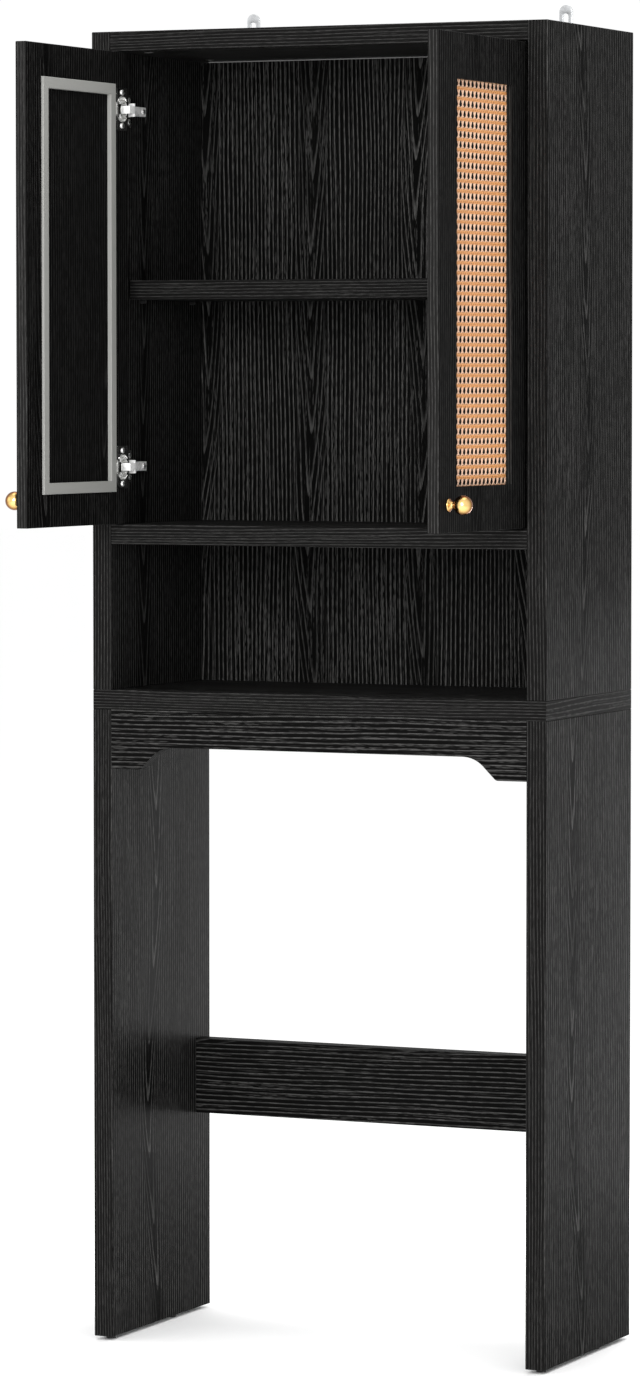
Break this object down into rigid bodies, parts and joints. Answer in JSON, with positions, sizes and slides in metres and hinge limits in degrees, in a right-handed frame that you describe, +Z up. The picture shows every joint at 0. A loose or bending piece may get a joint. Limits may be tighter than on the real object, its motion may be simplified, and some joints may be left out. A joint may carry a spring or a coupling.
{
  "type": "over the toilet storage rack",
  "caption": "Tall black wood-grain rack that stands over a toilet: leg panels and apron below, open compartment and a cupboard with two cane-fronted hinged doors above.",
  "frame": {"origin": "on the floor, under the middle of the rack as it stands with both doors open at a right angle", "axes": "+Z up, +X to the right as seen from the front, +Y towards the wall behind it"},
  "size_m": [0.637, 0.5684, 1.743],
  "materials": {
    "black_woodgrain": "embossed black wood-grain foil on board, satin",
    "woven_cane": "natural woven cane, satin",
    "grey_plastic": "moulded grey plastic, satin",
    "polished_brass": "polished",
    "hinge_nickel": "bright nickel plate",
    "plated_fastener": "bright zinc plate",
    "zinc_plated_steel": "zinc plated sheet",
    "cast_zinc": "as cast",
    "beech_dowel": "raw beech",
    "black_plastic": "moulded black plastic"
  },
  "bodies": {
    "cabinet": {"left_leg_panel": "black_woodgrain", "right_leg_panel": "black_woodgrain", "middle_board": "black_woodgrain", "front_apron": "black_woodgrain", "rear_rail": "black_woodgrain", "foot_glides": "black_plastic", "left_side_panel": "black_woodgrain", "right_side_panel": "black_woodgrain", "top_board": "black_woodgrain", "fixed_shelf": "black_woodgrain", "back_panel": "black_woodgrain", "inner_shelf": "black_woodgrain", "shelf_pins": "plated_fastener", "cam_discs": "cast_zinc", "cam_bolts": "plated_fastener", "dowels": "beech_dowel", "joining_studs": "plated_fastener", "hinge_plate_screws": "plated_fastener", "hinge_arm_screws": "hinge_nickel", "left_wall_bracket": "zinc_plated_steel", "right_wall_bracket": "zinc_plated_steel", "bracket_screws": "plated_fastener", "left_upper_hinge_arm": "hinge_nickel", "left_upper_mounting_plate": "hinge_nickel", "left_lower_hinge_arm": "hinge_nickel", "left_lower_mounting_plate": "hinge_nickel", "right_upper_hinge_arm": "hinge_nickel", "right_upper_mounting_plate": "hinge_nickel", "right_lower_hinge_arm": "hinge_nickel", "right_lower_mounting_plate": "hinge_nickel"},
    "left_door_leaf": {"left_door": "black_woodgrain", "left_cane_webbing": "woven_cane", "left_backing_panel": "black_woodgrain", "left_retainer_frame": "grey_plastic", "left_knob": "polished_brass", "left_knob_stud": "plated_fastener", "left_upper_hinge_cup": "hinge_nickel", "left_lower_hinge_cup": "hinge_nickel", "left_hinge_pins": "plated_fastener", "left_cup_screws": "plated_fastener"},
    "right_door_leaf": {"right_door": "black_woodgrain", "right_cane_webbing": "woven_cane", "right_backing_panel": "black_woodgrain", "right_retainer_frame": "grey_plastic", "right_knob": "polished_brass", "right_knob_stud": "plated_fastener", "right_upper_hinge_cup": "hinge_nickel", "right_lower_hinge_cup": "hinge_nickel", "right_hinge_pins": "plated_fastener", "right_cup_screws": "plated_fastener"}
  },
  "joints": [
    {"name": "left_door_hinge", "type": "hinge", "parent": "cabinet", "child": "left_door_leaf", "pos_m": [-0.2805, -0.00475, 1.37385], "axis": [0, 0, 1], "range_deg": [-5, 90]},
    {"name": "right_door_hinge", "type": "hinge", "parent": "cabinet", "child": "right_door_leaf", "pos_m": [0.2805, -0.00475, 1.37385], "axis": [0, 0, 1], "range_deg": [-90, 5]}
  ]
}
